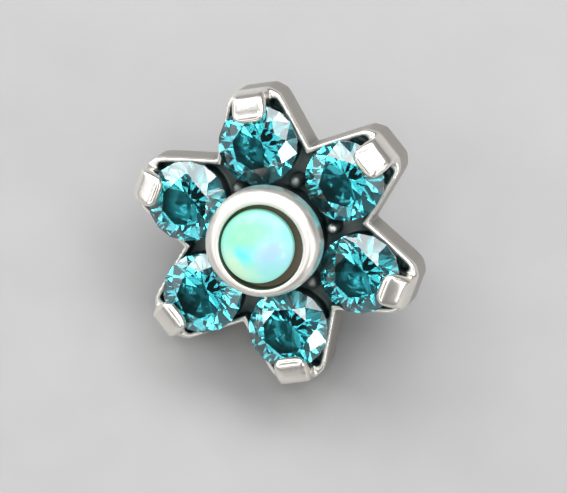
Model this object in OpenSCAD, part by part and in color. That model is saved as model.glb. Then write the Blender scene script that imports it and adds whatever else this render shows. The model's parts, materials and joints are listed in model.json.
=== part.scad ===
// Dermal anchor top: a flower of six set stones round an opal in a tall collar, on a short post.
// Each piece is drawn upright about the flower's own axis, with the stones' girdles at height 0.
// The flower is then laid down as it rests by itself, on two petals and the end of its post.

/* [Stones] */
// Diameter of each round stone at its girdle
stone_d = 1.5; // [1.3:0.05:1.7]
// Height of a stone's crown, from girdle to table
crown_h = 0.22; // [0.18:0.01:0.26]
// Depth of a stone's pavilion, from girdle to point
pavilion_h = 0.62; // [0.5:0.01:0.7]
// Thickness of a stone's girdle
girdle_t = 0.04; // [0.02:0.01:0.06]
// Width of a stone's table, corner to corner
table_d = 0.88; // [0.7:0.02:1]
// How far the star facets run from the table towards the girdle, as a part of the way
star_share = 0.5; // [0.4:0.05:0.6]
// How far the lower halves run from the girdle towards the point, as a part of the way
lower_share = 0.77; // [0.7:0.01:0.85]
// Turn of each stone from the one before it, in degrees
stone_turn = 13; // [0:1:45]

/* [Opal] */
// Diameter of the opal at its edge
opal_d = 1.36; // [1.3:0.02:1.4]
// Height of the opal's upright edge
opal_edge_h = 0.18; // [0.1:0.01:0.22]
// Height of the opal's dome above its edge
opal_dome_h = 0.3; // [0.24:0.02:0.36]
// Depth of the opal's edge below the collar's rim
opal_set = 0.08; // [0.05:0.01:0.12]
// Mean gap between the opal's side and the collar
opal_room = 0.11; // [0.1:0.01:0.13]
// How far the opal sits off the collar's middle
opal_off = 0.08; // [0:0.01:0.08]
// Side to which the opal sits off, in degrees
opal_off_turn = 200; // [0:5:355]

/* [Collar] */
// Height of the collar's rim above the stones' girdles
rim_z = 1.05; // [0.95:0.05:1.3]
// Width of the flat on top of the rim
rim_land = 0.06; // [0.05:0.01:0.1]
// How far the collar's side swells out past its rim
collar_swell = 0.24; // [0.2:0.01:0.26]
// Height at which the rounded shoulder of the collar begins
shoulder_z = 0.78; // [0.72:0.01:0.84]
// Height at which the collar reaches its full width
swell_z = 0.56; // [0.5:0.01:0.64]
// How far the collar is undercut beside the stones
undercut = 0.19; // [0.16:0.01:0.2]
// Height at which the undercut ends
waist_z = 0.08; // [0.05:0.01:0.12]

/* [Petals] */
// How far the collar reaches over the inner edge of each stone
collar_cover = 0.1; // [0.07:0.01:0.11]
// How far the outside of a petal's side stands past the stone's edge
side_stand = 0.01; // [0:0.01:0.03]
// Angle of a petal's side to the petal's own axis, in degrees
petal_taper = 20; // [18:1:23]
// Thickness of a petal's side
side_wall = 0.1; // [0.08:0.01:0.12]
// Thickness of the wall at a petal's tip
tip_wall = 0.24; // [0.22:0.01:0.27]
// Bevel on the upright corners of a petal's tip
tip_bevel = 0.14; // [0.1:0.01:0.16]
// How far the sides' top edges lie below the girdles
side_drop = 0.23; // [0.2:0.01:0.26]
// Height of the petals' sides
side_h = 0.9; // [0.85:0.05:1.2]
// Depth of the hollows between the stones' seats, from the sides' top edges
hollow_depth = 0.35; // [0.25:0.01:0.45]
// Width of the lip of metal round each stone's seat
seat_lip = 0.13; // [0.12:0.01:0.14]
// Gap left between a stone and the metal
stone_gap = 0.02; // [0.015:0.005:0.03]

/* [Prongs] */
// Width of the prong at a petal's tip
prong_w = 0.58; // [0.54:0.02:0.64]
// How far a prong folds in over the stone's edge
prong_reach = 0.15; // [0.13:0.01:0.18]
// Height of a prong's ridge above the underside of its front edge
prong_t = 0.14; // [0.12:0.01:0.16]
// Width of the bevel from a prong's front edge up to its ridge
prong_bevel = 0.06; // [0.05:0.01:0.09]
// Fall of a prong's top from its ridge to the bend, in degrees
prong_fall = 10; // [5:1:15]
// Radius of the bend at a prong's outer edge
prong_bend = 0.25; // [0.2:0.01:0.27]
// Radius of a prong's corners, seen from above
prong_corner = 0.1; // [0.06:0.01:0.15]
// Diameter of the small peg between two stones beside the collar
peg_d = 0.24; // [0.2:0.02:0.26]
// Height of a peg's top above the girdles
peg_z = -0.08; // [-0.1:0.01:0]

/* [Post] */
// Diameter of the post, over its thread
post_d = 1.2; // [1:0.1:1.6]
// How far the post stands out of the flower's underside
post_reach = 1.3; // [1:0.1:2]
// Diameter of the post's spigot, its narrower end that is let into the flower
spigot_d = 0.8; // [0.6:0.05:0.9]
// How deep the spigot is let into the flower
post_let_in = 0.45; // [0.3:0.05:0.6]
// Bevel at the post's end
post_bevel = 0.1; // [0.05:0.01:0.15]
// Gap between the post and the flower, round the spigot and under the flower
post_gap = 0.02; // [0.015:0.005:0.03]

/* [Hidden] */
petals = 6;
$fn = 64;
bend_steps = 6;
shoulder_steps = 10;
corner_fn = 32;
sink = 0.05;

metal = [0.66, 0.65, 0.63];
gem = [0.12, 0.62, 0.68];
opal = [0.66, 0.95, 0.85];

// Stone, worked out from its girdle
stone_r = stone_d / 2;
table_r = table_d / 2;
facet = 360 / 16;
table_mid_r = table_r * cos(facet);
star_r = table_mid_r + star_share * (stone_r - table_mid_r);
star_z = crown_h * (stone_r - star_r * cos(facet)) / (stone_r - table_r);
lower_r = stone_r * (1 - lower_share);
lower_z = -girdle_t - pavilion_h * (1 - lower_r * cos(facet) / stone_r);

// Opal and collar, from the opal outwards
opal_r = opal_d / 2;
bore_r = opal_r + opal_room;
rim_r = bore_r + rim_land;
collar_r = rim_r + collar_swell;
waist_r = collar_r - undercut;
dome_r = (opal_r * opal_r + opal_dome_h * opal_dome_h) / (2 * opal_dome_h);
opal_edge_z = rim_z - opal_set - opal_edge_h;
bore_z = opal_edge_z - stone_gap;

// Ring of stones and the petals round them
ring_r = collar_r - collar_cover + stone_r;
half_step = 180 / petals;
side_r = stone_r + side_stand;
tip_r = ring_r + stone_r + stone_gap + tip_wall;
side_top = -side_drop;
under_z = side_top - side_h;
hollow_z = side_top - hollow_depth;
seat_slope = -(lower_z + girdle_t) / (stone_r - lower_r);
seat_point = girdle_t + seat_slope * stone_r + stone_gap * sqrt(1 + seat_slope * seat_slope);
seat_r = (seat_point - side_drop) / seat_slope;
cup_r = seat_r + seat_lip;

// Height of a stone's crown at radius r, along its highest edges
function crown_z(r) =
    r > star_r ? star_z * (stone_r - r) / (stone_r - star_r)
    : r > table_r ? star_z + (crown_h - star_z) * (star_r - r) / (star_r - table_r)
    : crown_h;

// Prong, a claw whose top runs from a ridge near its front edge into a wide bend at the tip
crown_slope = star_z / (stone_r - star_r);
crown_gap = stone_gap * sqrt(1 + crown_slope * crown_slope);
prong_in_r = stone_r - prong_reach;
prong_in = ring_r + prong_in_r;
prong_under = crown_z(prong_in_r) + crown_gap;
prong_top = prong_under + prong_t;
ridge_in = prong_in + prong_bevel;
claw_r = tip_r - prong_bend;
claw_z = prong_top - prong_bend * cos(prong_fall)
    - (claw_r + prong_bend * sin(prong_fall) - ridge_in) * tan(prong_fall);
edge_in = ring_r + stone_r + stone_gap;
root_in = ring_r + cup_r - sink / 2;

// Peg between two stones, under the collar's edge
peg_r = peg_d / 2;
peg_ring = collar_r;

// Post
post_r = post_d / 2;
spigot_r = spigot_d / 2;
post_end_z = under_z - post_reach;
post_shoulder_z = under_z - post_gap;

// Half the width of a petal at radius r, where its side stands d from the stone's centre
function half_width(d, r) = (d - (r - ring_r) * sin(petal_taper)) / cos(petal_taper);

// Radius of the valley between two petals whose sides stand d from the stones' centres
function valley_r(d, r) =
    (half_width(d, r) + r * tan(petal_taper)) / (tan(half_step) + tan(petal_taper))
    / cos(half_step);

// A point at radius r along a line that is turned by a, and at s to its side
function turned(r, s, a) = [r * cos(a) - s * sin(a), r * sin(a) + s * cos(a)];

// The flower's outline, with petal tips at radius r
function flower_outline(d, r, bevel) = [
    for (k = [0:petals - 1])
        let (
            a = 2 * half_step * k,
            w = half_width(d, r),
            back = bevel * cos(petal_taper),
            out = bevel * sin(petal_taper)
        )
        each [
            turned(r - back, -w - out, a),
            turned(r, -w + bevel, a),
            turned(r, w - bevel, a),
            turned(r - back, w + out, a),
            turned(valley_r(d, r), 0, a + half_step)
        ]
];

// Points of a quarter turn of radii rx and ry round c, from angle a0 to a1
function bend(c, rx, ry, a0, a1, steps) = [
    for (k = [0:steps])
        let (a = a0 + (a1 - a0) * k / steps)
        [c[0] + rx * cos(a), c[1] + ry * sin(a)]
];

// The flower at rest: it tips until two petals' lower corners and the post's end touch down
tip_w = half_width(side_r, tip_r) - tip_bevel;
foot_y = tip_r * cos(half_step) + tip_w * sin(half_step);
rest_tilt = atan(post_reach / (foot_y - post_r + post_bevel));
rest_z = foot_y * sin(rest_tilt) - under_z * cos(rest_tilt);
back_y = foot_y * cos(rest_tilt) - under_z * sin(rest_tilt);
claw_y = claw_r * cos(half_step) + prong_w / 2 * sin(half_step);
front_y = claw_y * cos(rest_tilt) + claw_z * sin(rest_tilt)
    + prong_bend * norm([cos(half_step) * cos(rest_tilt), sin(rest_tilt)]);
rest_y = (front_y - back_y) / 2;

module at_rest() {
    translate([0, rest_y, rest_z])
        rotate([rest_tilt, 0, 0])
            children();
}

module at_petal(k) {
    rotate([0, 0, 2 * half_step * k])
        translate([ring_r, 0, 0])
            children();
}

module at_valley(k) {
    rotate([0, 0, 2 * half_step * k + half_step])
        translate([peg_ring, 0, 0])
            children();
}

// Round brilliant cut: table, stars, kites and halves over a thin girdle, and the pavilion below
function ring(r, z, count, start) = [
    for (k = [0:count - 1])
        let (a = start + 360 * k / count)
        [r * cos(a), r * sin(a), z]
];
function rev(f) = [for (k = [len(f) - 1:-1:0]) f[k]];

module brilliant() {
    star0 = 8;
    top0 = 16;
    low0 = 32;
    mid0 = 48;
    point = 56;
    points = concat(
        ring(table_r, crown_h, 8, 0),
        ring(star_r, star_z, 8, facet),
        ring(stone_r, 0, 16, 0),
        ring(stone_r, -girdle_t, 16, 0),
        ring(lower_r, lower_z, 8, facet),
        [[0, 0, -girdle_t - pavilion_h]]
    );
    crown = [
        for (k = [0:7])
            let (next = (k + 1) % 8, last = (k + 7) % 8, g = 2 * k, g1 = g + 1, g2 = (g + 2) % 16)
            each [
                [k, star0 + k, next],
                [k, star0 + last, top0 + g, star0 + k],
                [star0 + k, top0 + g, top0 + g1],
                [star0 + k, top0 + g1, top0 + g2]
            ]
    ];
    girdle = [
        for (k = [0:15])
            let (next = (k + 1) % 16)
            [top0 + k, low0 + k, low0 + next, top0 + next]
    ];
    pavilion = [
        for (k = [0:7])
            let (last = (k + 7) % 8, g = 2 * k, g1 = g + 1, g2 = (g + 2) % 16)
            each [
                [mid0 + k, low0 + g1, low0 + g],
                [mid0 + k, low0 + g2, low0 + g1],
                [point, mid0 + k, low0 + g, mid0 + last]
            ]
    ];
    faces = concat([[for (k = [0:7]) k]], crown, girdle, pavilion);
    polyhedron(points, [for (f = faces) rev(f)]);
}

module stone(k) {
    color(gem)
        at_rest()
            at_petal(k)
                rotate([0, 0, stone_turn * k])
                    brilliant();
}

// The opal: an upright edge with a dome on it, cut from one sphere, a little off the collar's middle
module opal_cabochon() {
    dome_z = opal_edge_z + opal_edge_h;
    color(opal)
        at_rest()
            translate([opal_off * cos(opal_off_turn), opal_off * sin(opal_off_turn), 0]) {
                translate([0, 0, opal_edge_z])
                    cylinder(r = opal_r, h = opal_edge_h);
                intersection() {
                    translate([0, 0, dome_z + opal_dome_h - dome_r])
                        sphere(r = dome_r);
                    translate([0, 0, dome_z])
                        cylinder(r = opal_r, h = opal_dome_h + sink);
                }
            }
}

// The collar's side: an undercut waist, a flare and a rounded shoulder up to the rim
module collar() {
    shoulder = bend([rim_r, shoulder_z], collar_swell, rim_z - shoulder_z, 0, 90, shoulder_steps);
    rotate_extrude()
        polygon(concat(
            [[0, hollow_z - sink], [waist_r, hollow_z - sink], [waist_r, waist_z], [collar_r, swell_z]],
            shoulder,
            [[0, rim_z]]
        ));
}

// The bore in the collar that the opal sits in
module opal_bore() {
    translate([0, 0, bore_z])
        cylinder(r = bore_r, h = rim_z - bore_z + sink);
}

// A stone's seat: the cone under its girdle, open upwards
module seat() {
    cone_h = seat_point - side_drop + sink;
    translate([0, 0, -seat_point])
        cylinder(r1 = 0, r2 = cone_h / seat_slope, h = cone_h);
}

// The hollows beside the seats, between the petals' thin sides
module hollows() {
    translate([0, 0, hollow_z])
        linear_extrude(hollow_depth + sink)
            difference() {
                polygon(flower_outline(side_r - side_wall, tip_r - tip_wall, 0));
                circle(r = waist_r - sink);
                for (k = [0:petals - 1])
                    at_petal(k)
                        circle(r = cup_r);
            }
}

// A prong: it rises from the tip's wall and folds over the stone's crown like a claw
module prong() {
    half = prong_w / 2;
    fold = bend([claw_r, claw_z], prong_bend, prong_bend, 0, 90 - prong_fall, bend_steps);
    side = concat(
        [[tip_r, hollow_z - sink]],
        fold,
        [
            [ridge_in, prong_top],
            [prong_in, prong_under + prong_t / 3],
            [prong_in, prong_under],
            [edge_in, crown_gap - crown_slope * stone_gap],
            [edge_in, side_top / 2],
            [root_in, side_top],
            [root_in, hollow_z - sink]
        ]
    );
    intersection() {
        translate([0, half, 0])
            rotate([90, 0, 0])
                linear_extrude(prong_w)
                    polygon(side);
        translate([0, 0, hollow_z - 2 * sink])
            linear_extrude(prong_top - hollow_z + 3 * sink)
                union() {
                    translate([prong_in + prong_corner, -half])
                        square([tip_r - prong_in, prong_w]);
                    translate([prong_in, prong_corner - half])
                        square([tip_r - prong_in, prong_w - 2 * prong_corner]);
                    for (s = [-1, 1])
                        translate([prong_in + prong_corner, s * (half - prong_corner)])
                            circle(r = prong_corner, $fn = corner_fn);
                }
    }
}

// A peg that stands in the hollow between two stones, with a round top
module peg() {
    rotate_extrude()
        polygon(concat(
            [[0, hollow_z - sink], [peg_r, hollow_z - sink]],
            bend([0, peg_z - peg_r], peg_r, peg_r, 0, 90, bend_steps)
        ));
}

// The metal of the flower, in one piece
module flower_setting() {
    color(metal)
        at_rest()
            difference() {
                union() {
                    difference() {
                        translate([0, 0, under_z])
                            linear_extrude(side_h)
                                polygon(flower_outline(side_r, tip_r, tip_bevel));
                        hollows();
                        for (k = [0:petals - 1])
                            at_petal(k)
                                seat();
                    }
                    collar();
                    for (k = [0:petals - 1]) {
                        rotate([0, 0, 2 * half_step * k])
                            prong();
                        at_valley(k)
                            peg();
                    }
                }
                opal_bore();
                translate([0, 0, under_z - sink])
                    cylinder(r = spigot_r + post_gap, h = post_let_in + post_gap + sink);
            }
}

// The post that screws into the anchor, plain here, with a bevelled end and a spigot at its root
module post() {
    color(metal)
        at_rest()
            rotate_extrude()
                polygon([
                    [0, post_end_z],
                    [post_r - post_bevel, post_end_z],
                    [post_r, post_end_z + post_bevel],
                    [post_r, post_shoulder_z],
                    [spigot_r, post_shoulder_z],
                    [spigot_r, under_z + post_let_in],
                    [0, under_z + post_let_in]
                ]);
}

flower_setting();
post();
opal_cabochon();
stone(0);  // stone_1
stone(1);  // stone_2
stone(2);  // stone_3
stone(3);  // stone_4
stone(4);  // stone_5
stone(5);  // stone_6
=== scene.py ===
"""Looks of a dermal anchor top: six teal stones and an opal in a polished flower, laid on a pale table."""
import json
import math

import bpy
from mathutils import Matrix, Vector


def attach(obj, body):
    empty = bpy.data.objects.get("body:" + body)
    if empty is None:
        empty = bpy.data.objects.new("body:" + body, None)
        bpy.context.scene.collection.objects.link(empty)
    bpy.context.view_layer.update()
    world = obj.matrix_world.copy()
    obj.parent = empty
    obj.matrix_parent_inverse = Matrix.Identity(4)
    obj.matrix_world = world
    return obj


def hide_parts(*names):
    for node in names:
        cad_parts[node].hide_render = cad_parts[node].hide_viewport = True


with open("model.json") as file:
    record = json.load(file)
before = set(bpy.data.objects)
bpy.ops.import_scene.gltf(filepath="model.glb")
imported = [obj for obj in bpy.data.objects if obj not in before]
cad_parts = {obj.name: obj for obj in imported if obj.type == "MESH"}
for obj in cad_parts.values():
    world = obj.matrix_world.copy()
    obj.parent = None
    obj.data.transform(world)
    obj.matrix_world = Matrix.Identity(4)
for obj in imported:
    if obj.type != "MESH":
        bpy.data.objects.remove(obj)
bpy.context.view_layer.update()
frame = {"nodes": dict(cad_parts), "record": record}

# The flower setting: cast titanium with a soldered collar, prongs folded over the stones, all of
# it tumbled until the edges are soft and the faces bright. It is worked in its own upright frame,
# in millimetres, with the stones' girdles at height 0.
MM = 0.001
POST_MIDDLE_TO_GIRDLES = 1.74
post_mount = frame["record"]["mounts"][0]
down = Vector(post_mount["axis"])
girdles_middle = Vector(post_mount["pos_m"]) - down * POST_MIDDLE_TO_GIRDLES * MM
lean = math.atan2(down.y, -down.z)
flower_lies = Matrix.Translation(girdles_middle) @ Matrix.Rotation(lean, 4, "X") @ Matrix.Scale(MM, 4)


def added(name, data):
    """A new object in the scene, for a mesh, a lamp or the camera."""
    ob = bpy.data.objects.new(name, data)
    bpy.context.scene.collection.objects.link(ob)
    return ob


def finished(mesh, name, modifiers, groups):
    """The mesh after modifiers, each a kind with its settings. groups holds the share of a modifier
    that each point takes, by the group's name."""
    blank = added("blank", mesh)
    for group_name, shares in groups.items():
        group = blank.vertex_groups.new(name=group_name)
        for index, share in shares.items():
            group.add([index], share, "REPLACE")
    for kind, settings in modifiers:
        modifier = blank.modifiers.new(kind, kind.upper())
        for key, value in settings.items():
            setattr(modifier, key, value)
    depsgraph = bpy.context.evaluated_depsgraph_get()
    made = bpy.data.meshes.new_from_object(blank.evaluated_get(depsgraph))
    bpy.data.objects.remove(blank)
    made.name = name
    return made


def placed(name, mesh, node, material):
    """Stands the mesh, in flower millimetres, in the place of a CAD node."""
    mesh.transform(flower_lies)
    mesh.materials.clear()
    mesh.materials.append(material)
    mesh.polygons.foreach_set("use_smooth", [True] * len(mesh.polygons))
    piece = added(name, mesh)
    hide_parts(node)
    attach(piece, "root")


class Value:
    """One output of a shader node. Arithmetic on it adds Math nodes, so a pattern reads as a formula."""

    def __init__(self, look, made, which=0):
        self.look, self.made, self.which = look, made, which

    def __add__(self, other):
        return self.look.maths("ADD", self, other)

    def __sub__(self, other):
        return self.look.maths("SUBTRACT", self, other)

    def __rsub__(self, other):
        return self.look.maths("SUBTRACT", other, self)

    def __mul__(self, other):
        return self.look.maths("MULTIPLY", self, other)

    def __truediv__(self, other):
        return self.look.maths("DIVIDE", self, other)

    def __rtruediv__(self, other):
        return self.look.maths("DIVIDE", other, self)

    def __pow__(self, other):
        return self.look.maths("POWER", self, other)

    def __rpow__(self, other):
        return self.look.maths("POWER", other, self)

    __radd__, __rmul__ = __add__, __mul__

    def output(self, which):
        return Value(self.look, self.made, which)

    def ramp(self, low, high):
        """0 up to low, 1 from high on, and a smooth curve between them."""
        sockets = {"Value": self, "From Min": low, "From Max": high}
        return self.look.node("MapRange", dict(interpolation_type="SMOOTHSTEP"), sockets)

    def band(self, start, full, fading, end):
        """1 from full to fading, falling to 0 at start and at end."""
        return self.ramp(start, full) * (1 - self.ramp(fading, end))


class Look:
    """A material being made. node() adds any shader node and gives its first output."""

    def __init__(self, name):
        self.material = bpy.data.materials.new(name)
        self.material.use_nodes = True
        self.tree = self.material.node_tree
        self.tree.nodes.clear()

    def node(self, kind, settings, sockets):
        made = self.tree.nodes.new("ShaderNode" + kind)
        for key, value in settings.items():
            setattr(made, key, value)
        for key, value in sockets.items():
            if isinstance(value, Value):
                self.tree.links.new(value.made.outputs[value.which], made.inputs[key])
            else:
                made.inputs[key].default_value = value
        return Value(self, made)

    def maths(self, operation, *values):
        return self.node("Math", dict(operation=operation), dict(enumerate(values)))

    def vector(self, operation, first, second):
        return self.node("VectorMath", dict(operation=operation), {0: first, 1: second})

    def mix(self, factor, first, second):
        """The colour first where factor is 0, and second where it is 1. A Mix node takes its two
        colours at inputs 6 and 7 and gives the mixed one at output 2."""
        return self.node("Mix", dict(data_type="RGBA"), {0: factor, 6: first, 7: second}).output(2)

    def millimetres(self, stretch=(1, 1, 1)):
        """Where a point is in the flower's own upright frame, in millimetres."""
        sockets = {
            "Vector": self.node("TexCoord", {}, {}).output("Object"),
            "Location": girdles_middle,
            "Rotation": (lean, 0, 0),
            "Scale": tuple(MM / s for s in stretch),
        }
        return self.node("Mapping", dict(vector_type="TEXTURE"), sockets)

    def noise(self, per_mm, detail, stretch=(1, 1, 1)):
        sockets = {"Vector": self.millimetres(stretch), "Scale": per_mm, "Detail": detail}
        return self.node("TexNoise", {}, sockets)

    def bump(self, height, depth_mm):
        """A normal from a height of 0 to 1 that stands depth_mm high."""
        return self.node("Bump", {}, {"Height": height, "Distance": depth_mm * MM})

    def surface(self, sockets, **inside):
        """The finished material: a Principled surface with these sockets, and what is inside it."""
        shader = self.node("BsdfPrincipled", {}, sockets)
        self.node("OutputMaterial", {}, {"Surface": shader, **inside})
        return self.material


PETALS = 6
BORE_R = 0.79
BRIGHT_PEG_TURN = math.radians(30)
NOOK_REACH, POLISH_DEPTH = 0.45, 0.0016


def polished_titanium(name, line_stretch):
    """Titanium after the polishing wheel: bright faces with faint lines. Painted shade darkens and browns
    it low down, and a painted warm reflection with painted shade darkens the bore. The nooks get painted
    shade with a teal cast that paints the stones' reflection. The metal low round the collar, where it is
    soldered, is duller, and the collar's shade is painted over it but for one peg left bright as if lit.
    The seats under the stones carry a blotched teal tint, painted light from the stones, which is tuned.
    It has no lower limit, so most of it lies on the petals' undersides, a fault."""
    look = Look(name)
    place = look.node("SeparateXYZ", {}, {0: look.millimetres()})
    x, y, z = (place.output(axis) for axis in "XYZ")
    from_axis = (x**2 + y**2) ** 0.5
    petal_wave = look.maths("COSINE", look.maths("ARCTAN2", y, x) * PETALS)
    toward_peg = (x * math.cos(BRIGHT_PEG_TURN) + y * math.sin(BRIGHT_PEG_TURN)) / from_axis

    # Painted shade: where little sky is open the metal is darkened, with a teal cast that paints the
    # stones' reflection.
    open_sky = look.node("AmbientOcclusion", dict(samples=8), {"Distance": NOOK_REACH * MM}).output("AO")
    shaded_nook = 1 - open_sky.ramp(0.35, 0.9)
    # Painted shade: the metal is darkened and browned towards the bottom.
    shaded_low = 1 - z.ramp(-0.45, -0.27)
    # Painted light: the seats under the stones are tinted teal, as if lit through the stones.
    teal_lit_seats = petal_wave.ramp(-0.1, 0.5) * (1 - z.ramp(-0.5, -0.3))
    teal_lit_seats = teal_lit_seats * from_axis.band(1.15, 1.3, 2.3, 2.45)
    # Painted warm reflection and shade on the bore's wall.
    bore_reflection_and_shade = (1 - from_axis.ramp(BORE_R - 0.02, BORE_R + 0.02)) * z.band(0.5, 0.7, 0.98, 1.04)
    on_collar = (1 - from_axis.ramp(1.2, 1.3)) * z.ramp(0.1, 0.3)
    # The soldered foot of the collar is duller, and the collar's shade is painted dark over it; one peg is
    # left out of the painted shade, so it stays bright as if lit.
    solder_and_shade = (1 - from_axis.ramp(1.35, 1.5)) * z.band(-0.6, -0.5, 0.0, 0.12)
    solder_and_shade = solder_and_shade * (1 - toward_peg.ramp(0.93, 0.98))

    cloud = look.noise(2.2, 3.0)
    lines = look.noise(14.0, 2.0, line_stretch)
    pits = look.noise(26.0, 3.0)
    # Painted teal light and reflection, mottled, for the seats under the stones.
    teal_light_mottle = look.mix(look.noise(5.5, 1.0).ramp(0.42, 0.58), (0.16, 0.34, 0.36, 1), (0.75, 0.97, 0.98, 1))
    colour = look.mix(cloud.ramp(0.35, 0.65), (0.91, 0.87, 0.80, 1), (0.95, 0.92, 0.86, 1))
    # Painted shade and painted light laid over the metal's own colour, each by its share.
    for share, painted_light_colour in (
        (0.85 * shaded_low, (0.38, 0.355, 0.325, 1)),
        (0.9 * shaded_nook, (0.03, 0.08, 0.086, 1)),
        (0.95 * teal_lit_seats, teal_light_mottle),
        (0.85 * bore_reflection_and_shade, (0.17, 0.12, 0.075, 1)),
        (0.75 * solder_and_shade, (0.10, 0.12, 0.12, 1)),
    ):
        colour = look.mix(share, colour, painted_light_colour)
    roughness = 0.16 + 0.12 * (cloud + on_collar + teal_lit_seats) + 0.06 * lines
    roughness = roughness + 0.2 * shaded_nook + 0.16 * shaded_low + 0.25 * solder_and_shade
    height = 0.5 * lines + 0.3 * pits * (0.35 + shaded_nook) + 6.0 * look.noise(1.7, 1.0)
    return look.surface(
        {
            "Base Color": colour,
            "Metallic": 1.0,
            "Roughness": roughness,
            "Normal": look.bump(height, POLISH_DEPTH),
        }
    )


WELDED, VOXEL, EDGE_PASSES = 0.0005, 0.022, 5
cast = frame["nodes"]["flower_setting"].data.copy()
cast.transform(flower_lies.inverted())
tumbling = [
    ("Weld", dict(merge_threshold=WELDED)),
    ("Remesh", dict(mode="VOXEL", voxel_size=VOXEL)),
    ("Smooth", dict(factor=0.5, iterations=EDGE_PASSES)),
]
tumbled = finished(cast, "tumbled_setting", tumbling, {})

# The setter's work on the tumbled casting: each prong is pressed further in over its stone and
# rounded, and the collar's wall is filed thinner on one side. The petals' tips are eased last.
SIXTH = 2 * math.pi / PETALS
PRONG_ROOT, PRONG_END, PRONG_HALF = 2.62, 2.34, 0.29
PRESSED_IN, PRESSED_UP, PRESS_FADE = 0.12, 0.118, 0.07
PRONG_CORNER, CORNER_FROM, CORNER_REACH = 0.17, 0.05, 1.2
PRONG_FULL, FULL_FADE, PRONG_PASSES = 0.032, 0.12, 60
MARGIN = 0.1
TIP_IN, TIP_FADE, TIP_PASSES = 2.45, 0.2, 50
COLLAR_CLEAR, FILED_FROM = 1.2, 0.15
FILED_TURN, FILED_SHARE, FILED_POWER = math.radians(294), 0.42, 1.5
SETTING_TRIANGLES = 190_000


def eased_step(value, low, high):
    """0 up to low, 1 from high on, and a smooth curve between them."""
    t = min(1.0, max(0.0, (value - low) / (high - low)))
    return t * t * (3 - 2 * t)


def pressed(out, across, z):
    """Where a prong's point goes, told by its petal's own directions: out from the flower's axis,
    across the petal, and up."""
    share = eased_step(PRONG_ROOT - out, 0, PRONG_ROOT - PRONG_END)
    share *= eased_step(PRONG_HALF + MARGIN - abs(across), 0, PRESS_FADE) * eased_step(z, 0, PRESS_FADE)
    out -= PRESSED_IN * share
    ahead = (PRONG_END - PRESSED_IN + PRONG_CORNER - out) / PRONG_CORNER
    aside = (abs(across) - PRONG_HALF + PRONG_CORNER) / PRONG_CORNER
    if z > CORNER_FROM and 0 < ahead < CORNER_REACH and 0 < aside < CORNER_REACH:
        out += PRONG_CORNER * ahead * (1 - math.sqrt(1 - aside**2 / 2))
        across -= math.copysign(PRONG_CORNER * aside * (1 - math.sqrt(1 - ahead**2 / 2)), across)
    return out, across, z + PRESSED_UP * share


def filed(x, y, r):
    """Where a point of the collar's wall goes, nearer to the bore on the filed side."""
    facing = max(0.0, math.cos(math.atan2(y, x) - FILED_TURN))
    keep = (BORE_R + (r - BORE_R) * (1 - FILED_SHARE * facing**FILED_POWER)) / r
    return x * keep, y * keep


prongs, tips = {}, {}
for point in tumbled.vertices:
    x, y, z = point.co
    r = math.hypot(x, y)
    if r > PRONG_END - MARGIN:
        petal = round(math.atan2(y, x) / SIXTH) * SIXTH
        out = x * math.cos(petal) + y * math.sin(petal)
        across = y * math.cos(petal) - x * math.sin(petal)
        tips[point.index] = eased_step(out, TIP_IN, TIP_IN + TIP_FADE)
        if z > 0 and abs(across) < PRONG_HALF + MARGIN:
            short_of_root = eased_step(PRONG_ROOT + MARGIN - out, 0, FULL_FADE)
            prongs[point.index] = eased_step(z, 0, MARGIN) * short_of_root
            out, across, z = pressed(out, across, z)
            x = out * math.cos(petal) - across * math.sin(petal)
            y = out * math.sin(petal) + across * math.cos(petal)
            point.co = (x, y, z)
    elif BORE_R < r < COLLAR_CLEAR and z > FILED_FROM:
        point.co = (*filed(x, y, r), z)
setting_work = [
    ("Smooth", dict(factor=0.5, iterations=PRONG_PASSES, vertex_group="prongs")),
    ("Displace", dict(mid_level=0.0, strength=PRONG_FULL, vertex_group="prongs")),
    ("Smooth", dict(factor=0.5, iterations=TIP_PASSES, vertex_group="tips")),
    ("Decimate", dict(ratio=min(1.0, SETTING_TRIANGLES / (2 * len(tumbled.polygons))))),
]
placed(
    "polished_flower",
    finished(tumbled, "flower_setting", setting_work, {"prongs": prongs, "tips": tips}),
    "flower_setting",
    polished_titanium("polished_titanium", (1, 1, 6)),
)

# The post: a turned titanium pin with a bevelled end, let into the flower by a narrower spigot
# and soldered there. It is turned as one profile about the flower's axis.
POST_R, POST_END, POST_SHOULDER, POST_BEVEL = 0.6, -2.43, -1.15, 0.1
SPIGOT_R, SPIGOT_TOP = 0.4, -0.68
CORNER_R, CORNER_STEPS, CORNER_SHARE = 0.03, 5, 0.45
TURNED_STEPS = 96


def eased(profile):
    """A lathe profile with each corner between its ends rounded. No corner takes more than its
    share of the stretch beside it."""
    points = [profile[0]]
    for before, corner, after in zip(profile, profile[1:], profile[2:]):
        corner = Vector(corner)
        to_before, to_after = Vector(before) - corner, Vector(after) - corner
        reach = min(CORNER_R, to_before.length * CORNER_SHARE, to_after.length * CORNER_SHARE)
        start, end = corner + to_before.normalized() * reach, corner + to_after.normalized() * reach
        for k in range(CORNER_STEPS + 1):
            t = k / CORNER_STEPS
            points.append(tuple((1 - t) ** 2 * start + 2 * t * (1 - t) * corner + t * t * end))
    points.append(profile[-1])
    return points


def ring(radius, count, z=0, middle=(0, 0)):
    """Points spaced evenly round an upright axis."""
    points = []
    for k in range(count):
        turn = 2 * math.pi * k / count
        points.append((middle[0] + radius * math.cos(turn), middle[1] + radius * math.sin(turn), z))
    return points


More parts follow.
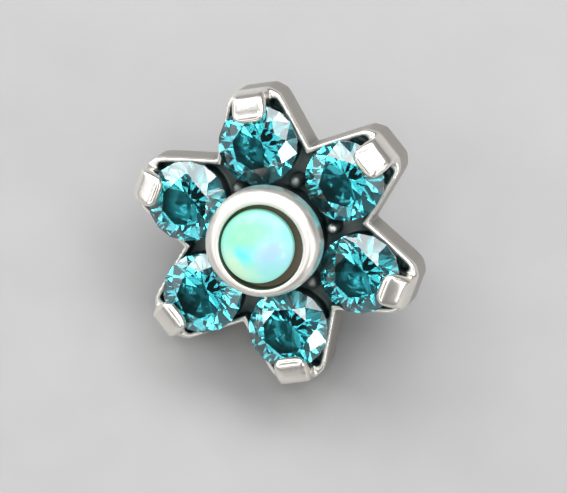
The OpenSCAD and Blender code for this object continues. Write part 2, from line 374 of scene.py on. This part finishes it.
def turned(profile, name, middle=(0, 0)):
    """A closed mesh turned about an upright axis from (radius, height) points, both ends on the axis."""
    rows = profile[1:-1]
    points = [(*middle, profile[0][1])]
    for r, z in rows:
        points += ring(r, TURNED_STEPS, z, middle)
    points.append((*middle, profile[-1][1]))
    faces = []
    for k in range(TURNED_STEPS):
        after = (k + 1) % TURNED_STEPS
        faces.append((0, 1 + after, 1 + k))
        for row in range(len(rows) - 1):
            low, high = 1 + row * TURNED_STEPS, 1 + (row + 1) * TURNED_STEPS
            faces.append((low + k, low + after, high + after, high + k))
        top = 1 + (len(rows) - 1) * TURNED_STEPS
        faces.append((top + k, top + after, len(points) - 1))
    mesh = bpy.data.meshes.new(name)
    mesh.from_pydata(points, [], faces)
    mesh.validate()
    return mesh


post_profile = [
    (0, POST_END),
    (POST_R - POST_BEVEL, POST_END),
    (POST_R, POST_END + POST_BEVEL),
    (POST_R, POST_SHOULDER),
    (SPIGOT_R, POST_SHOULDER),
    (SPIGOT_R, SPIGOT_TOP),
    (0, SPIGOT_TOP),
]
placed(
    "turned_post",
    turned(eased(post_profile), "post"),
    "post",
    polished_titanium("turned_titanium", (1, 1, 14)),
)

# The six stones: round brilliants, here of crystal glass, teal right through, each with a flat table.
# Their cut is the CAD model's, so that every facet is a true plane. The clear coat stands for no real
# layer: it only strengthens the white flashes on the crowns.
STONE_IOR, COAT_IOR = 1.6, 1.7


def teal_stone():
    look = Look("teal_stone")
    inside = look.node("VolumeAbsorption", {}, {"Color": (0.0, 0.69, 0.73, 1), "Density": 1450.0})
    return look.surface(
        {
            "Base Color": look.mix(
                look.noise(1.4, 1.0).ramp(0.3, 0.7), (0.62, 0.95, 0.97, 1), (0.70, 0.98, 1.0, 1)
            ),
            "Roughness": 0.0,
            "IOR": STONE_IOR,
            "Transmission Weight": 1.0,
            "Coat Weight": 1.0,
            "Coat Roughness": 0.0,
            "Coat IOR": COAT_IOR,
        },
        Volume=inside,
    )


stone_look = teal_stone()
for k in range(1, PETALS + 1):
    stone = frame["nodes"][f"stone_{k}"]
    stone.data.materials.clear()
    stone.data.materials.append(stone_look)

# The opal: a round cabochon with an upright edge, set a little to one side in the collar's bore. It
# is mint with soft patches of green, cyan and pale blue under a soft polish. A faint glow of its own,
# which no real opal has, brings it up to the photograph's brightness.
OPAL_R, OPAL_EDGE, OPAL_EDGE_H, OPAL_DOME_H = 0.68, 0.79, 0.18, 0.3
OPAL_BEVEL, OPAL_BROW, DOME_RINGS = 0.04, 0.02, 28
OPAL_OFF, OPAL_OFF_TURN = 0.08, math.radians(200)
OPAL_MIDDLE = (OPAL_OFF * math.cos(OPAL_OFF_TURN), OPAL_OFF * math.sin(OPAL_OFF_TURN))


def opal_look():
    look = Look("opal")
    wander = look.vector("MULTIPLY", look.noise(1.6, 2.0).output("Color"), (0.5, 0.5, 0.5))
    shifted = look.vector("ADD", look.millimetres(), wander)
    flat = look.vector("MULTIPLY", shifted, (1, 1, 0))

    def patch(x, y, reach, soft):
        away = look.vector("DISTANCE", flat, (x, y, 0)).output("Value")
        return 1 - away.ramp(reach, reach + soft)

    colour = look.mix(patch(-0.05, 0.42, 0.1, 0.6), (0.36, 0.92, 0.82, 1), (0.32, 0.97, 0.54, 1))
    colour = look.mix(patch(-0.02, -0.35, 0.1, 0.55), colour, (0.62, 0.97, 0.70, 1))
    colour = look.mix(patch(0.48, 0.26, 0.06, 0.42), colour, (0.46, 0.72, 0.96, 1))
    colour = look.mix(patch(0.06, 0.08, 0.02, 0.26), colour, (0.17, 0.95, 0.98, 1))
    return look.surface(
        {
            "Base Color": look.mix(0.45, colour, (0.0, 0.0, 0.0, 1)),
            "Roughness": 0.35,
            "IOR": 1.45,
            "Coat Weight": 0.25,
            "Coat Roughness": 0.12,
            "Emission Color": colour,
            "Emission Strength": 0.48,
        }
    )


dome_r = (OPAL_R**2 + OPAL_DOME_H**2) / (2 * OPAL_DOME_H)
dome_angle = math.asin(OPAL_R / dome_r)
dome_base = OPAL_EDGE + OPAL_EDGE_H
opal_profile = [
    (0, OPAL_EDGE),
    (OPAL_R - OPAL_BEVEL, OPAL_EDGE),
    (OPAL_R, OPAL_EDGE + OPAL_BEVEL),
    (OPAL_R, dome_base - OPAL_BROW),
]
for k in range(DOME_RINGS + 1):
    a = dome_angle * (1 - k / DOME_RINGS)
    opal_profile.append((dome_r * math.sin(a), dome_base + OPAL_DOME_H - dome_r * (1 - math.cos(a))))
placed("opal_dome", turned(opal_profile, "opal", OPAL_MIDDLE), "opal_cabochon", opal_look())

# The camera, at the photograph's angle above the table, aimed so that the flower's middle falls
# where the photograph has it.
CAMERA_AZIMUTH, CAMERA_ELEVATION, CAMERA_AWAY = 24.0, 70.3, 100
PIXELS_PER_MM, PHOTO_WIDTH, SENSOR_WIDTH = 54.0, 567, 36
AIM_RIGHT, AIM_DOWN = 0.0815, 0.2981
CLIP_END = 2000
flower_middle = Vector((0, 0, 2))


def toward(azimuth, elevation):
    """The direction from the flower to a place in front of it at azimuth 0, or on its right at 90."""
    turn, rise = math.radians(azimuth), math.radians(elevation)
    return Vector((math.sin(turn) * math.cos(rise), -math.cos(turn) * math.cos(rise), math.sin(rise)))


def stand(ob, aim, direction, away):
    """Stands a camera or lamp that many millimetres away in the direction, facing the aim."""
    ob.location = (aim + direction * away) * MM
    ob.rotation_mode = "QUATERNION"
    ob.rotation_quaternion = direction.to_track_quat("Z", "Y")


to_camera = toward(CAMERA_AZIMUTH, CAMERA_ELEVATION)
picture_right = toward(CAMERA_AZIMUTH + 90, 0)
picture_up = to_camera.cross(picture_right)
camera_data = bpy.data.cameras.new("camera")
camera_data.sensor_width = SENSOR_WIDTH
camera_data.lens = SENSOR_WIDTH * CAMERA_AWAY / (PHOTO_WIDTH / PIXELS_PER_MM)
camera_data.clip_start, camera_data.clip_end = MM, CLIP_END * MM
camera = added("camera", camera_data)
stand(camera, flower_middle + picture_right * AIM_RIGHT - picture_up * AIM_DOWN, to_camera, CAMERA_AWAY)
bpy.context.scene.camera = camera
bpy.context.scene.view_settings.view_transform = "Standard"

# The table: a plain pale top with a faint grain, so much wider than the flower that the camera
# doesn't see its edge.
TABLE_R, TABLE_CORNERS = 600, 96
table_mesh = bpy.data.meshes.new("table_top")
table_mesh.from_pydata(ring(TABLE_R * MM, TABLE_CORNERS), [], [tuple(range(TABLE_CORNERS))])
table = added("table_top", table_mesh)
table_look = Look("pale_table")
grain = table_look.noise(0.8, 4.0)
pale = table_look.mix(grain, (0.36, 0.36, 0.36, 1), (0.40, 0.40, 0.395, 1))
table_mesh.materials.append(table_look.surface({"Base Color": pale, "Roughness": 0.35 + 0.1 * grain}))

# The studio: a dim room, a window and a key lamp behind for the collar, low walls of light at the
# sides, and small lamps that the stones' facets catch. A soft panel in front lights the prongs' tops,
# and the black card before it keeps the stones' tables dark, so that they show the stone.
ROOM = (0.24, 0.24, 0.25, 1)
world = bpy.data.worlds.new("studio")
bpy.context.scene.world = world
world.use_nodes = True
world.node_tree.nodes["Background"].inputs["Color"].default_value = ROOM
LAMP_AWAY = 150


def softbox(name, azimuth, elevation, width, height, radiance):
    """A lamp of so many millimetres that faces the flower, seen only in what it lights."""
    lamp = bpy.data.lights.new(name, "AREA")
    lamp.shape = "RECTANGLE"
    lamp.size, lamp.size_y = width * MM, height * MM
    lamp.energy = radiance * math.pi * lamp.size * lamp.size_y
    ob = added(name, lamp)
    stand(ob, flower_middle, toward(azimuth, elevation), LAMP_AWAY)
    ob.visible_camera = False


softbox("window", -178, 58, 120, 58, 4.2)
softbox("key", -120, 44, 78, 60, 5.2)
softbox("low_left", -107, 18, 56, 54, 4.0)
softbox("left_wall", -72, 20, 120, 50, 1.1)
softbox("right_wall", 88, 24, 110, 70, 1.0)
softbox("front_panel", -10.7, 42.4, 136, 136, 1.7)
softbox("ceiling_back", 110, 62, 52, 42, 4.2)
softbox("ceiling_right", 52, 79, 32, 28, 6.0)
softbox("ceiling_left", -62, 74, 30, 26, 6.0)
softbox("ceiling_front", 30, 61, 24, 20, 6.0)
softbox("left_spark", -63, 38, 28, 44, 6.0)
softbox("right_spark", 78, 40, 24, 24, 7.0)
softbox("low_spark", 67, 20, 28, 22, 9.0)
softbox("back_right", 146, 52, 60, 50, 3.6)

# The card stands where the stones' tables would mirror the front panel to the camera.
CARD_HALF, CARD_AWAY = 29, 142
card_out = 2 * to_camera.dot(down) * down - to_camera
card_side = card_out.cross(Vector((0, 0, 1))).normalized()
card_up = card_side.cross(card_out)
card_corners = [
    (card_out * CARD_AWAY + (card_side * x + card_up * y) * CARD_HALF) * MM
    for x, y in ((-1, -1), (1, -1), (1, 1), (-1, 1))
]
card_mesh = bpy.data.meshes.new("black_card")
card_mesh.from_pydata(card_corners, [], [(0, 1, 2, 3)])
card = added("black_card", card_mesh)
card.visible_camera = False
felt = Look("black_card")
card_mesh.materials.append(felt.surface({"Base Color": (0.03, 0.03, 0.03, 1), "Roughness": 0.9}))
